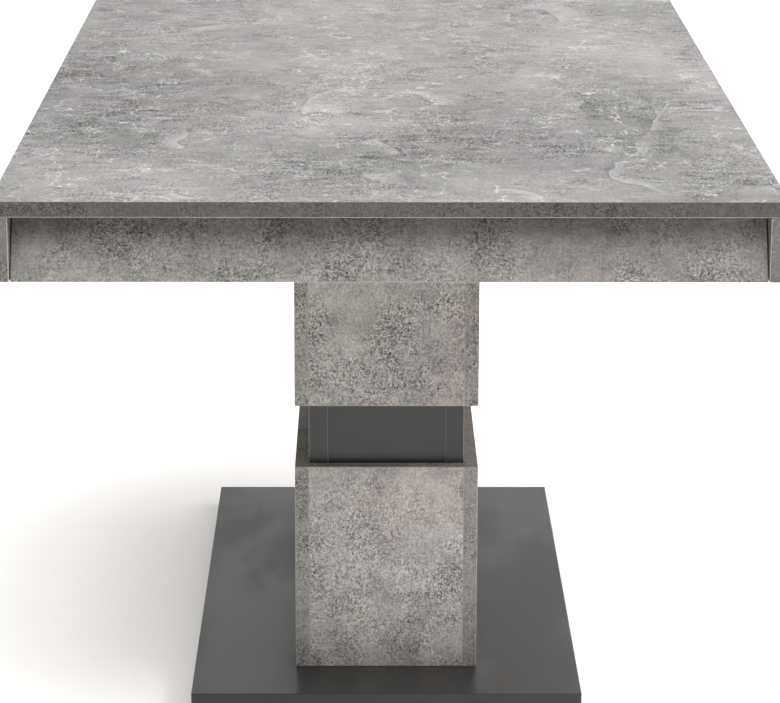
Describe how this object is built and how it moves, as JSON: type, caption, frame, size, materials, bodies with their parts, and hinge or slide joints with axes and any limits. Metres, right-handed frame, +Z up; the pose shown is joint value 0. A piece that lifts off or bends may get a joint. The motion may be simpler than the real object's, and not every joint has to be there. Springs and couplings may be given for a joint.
{
  "type": "extendable dining table",
  "caption": "Rectangular pedestal dining table with a stepped box column on a flat base plate; each end draws out and a stored leaf lifts flush with the top.",
  "frame": {"origin": "on the floor, under the middle of the table, with both ends pushed in", "axes": "+X across the width, +Y along the length from the front end to the rear end, +Z up"},
  "size_m": [0.9, 1.6, 0.76],
  "materials": {
    "concrete_board": "melamine-faced board with a matt grey concrete decor",
    "anthracite_board": "melamine-faced board, matt anthracite",
    "beech": "planed beech, clear lacquer",
    "zinc_steel": "bright zinc-plated steel",
    "black_plastic": "moulded black plastic"
  },
  "bodies": {
    "table": {"table_top": "concrete_board", "side_apron_left": "concrete_board", "side_apron_right": "concrete_board", "centre_rail_front": "beech", "centre_rail_rear": "beech", "mounting_board": "beech", "board_screws": "zinc_steel", "apron_dowels": "beech", "rail_dowels": "beech", "guide_front_left": "black_plastic", "guide_front_right": "black_plastic", "guide_rear_left": "black_plastic", "guide_rear_right": "black_plastic", "guide_screws": "zinc_steel", "core_side_left": "anthracite_board", "core_side_right": "anthracite_board", "core_panel_front": "anthracite_board", "core_panel_rear": "anthracite_board", "core_head_board": "beech", "core_foot_board": "beech", "head_angles": "zinc_steel", "angle_screws": "zinc_steel", "upper_panel_front": "concrete_board", "upper_panel_rear": "concrete_board", "upper_side_left": "concrete_board", "upper_side_right": "concrete_board", "lower_panel_front": "concrete_board", "lower_panel_rear": "concrete_board", "lower_side_left": "concrete_board", "lower_side_right": "concrete_board", "tie_rods": "zinc_steel", "tie_rod_nuts": "zinc_steel", "tie_rod_washers": "zinc_steel", "base_plate": "anthracite_board", "floor_glides": "black_plastic"},
    "front_pullout": {"front_end_board": "concrete_board", "front_bearer_left": "beech", "front_bearer_right": "beech", "front_cross_batten": "beech", "front_corner_blocks": "beech", "front_block_screws": "zinc_steel", "front_stop_pins": "zinc_steel", "front_lift_plates": "zinc_steel"},
    "front_leaf_unit": {"front_leaf": "concrete_board", "front_leaf_battens": "beech", "front_leaf_brackets": "zinc_steel"},
    "rear_pullout": {"rear_end_board": "concrete_board", "rear_bearer_left": "beech", "rear_bearer_right": "beech", "rear_cross_batten": "beech", "rear_corner_blocks": "beech", "rear_block_screws": "zinc_steel", "rear_stop_pins": "zinc_steel", "rear_lift_plates": "zinc_steel"},
    "rear_leaf_unit": {"rear_leaf": "concrete_board", "rear_leaf_battens": "beech", "rear_leaf_brackets": "zinc_steel"}
  },
  "joints": [
    {"name": "front_draw", "type": "slide", "parent": "table", "child": "front_pullout", "axis": [0, -0.9991, 0.042], "range_m": [0, 0.46391]},
    {"name": "front_leaf_lift", "type": "slide", "parent": "front_pullout", "child": "front_leaf_unit", "axis": [0, 0, 1], "range_m": [0, 0.0195]},
    {"name": "rear_draw", "type": "slide", "parent": "table", "child": "rear_pullout", "axis": [0, 0.9991, 0.042], "range_m": [0, 0.46391]},
    {"name": "rear_leaf_lift", "type": "slide", "parent": "rear_pullout", "child": "rear_leaf_unit", "axis": [0, 0, 1], "range_m": [0, 0.0195]}
  ]
}
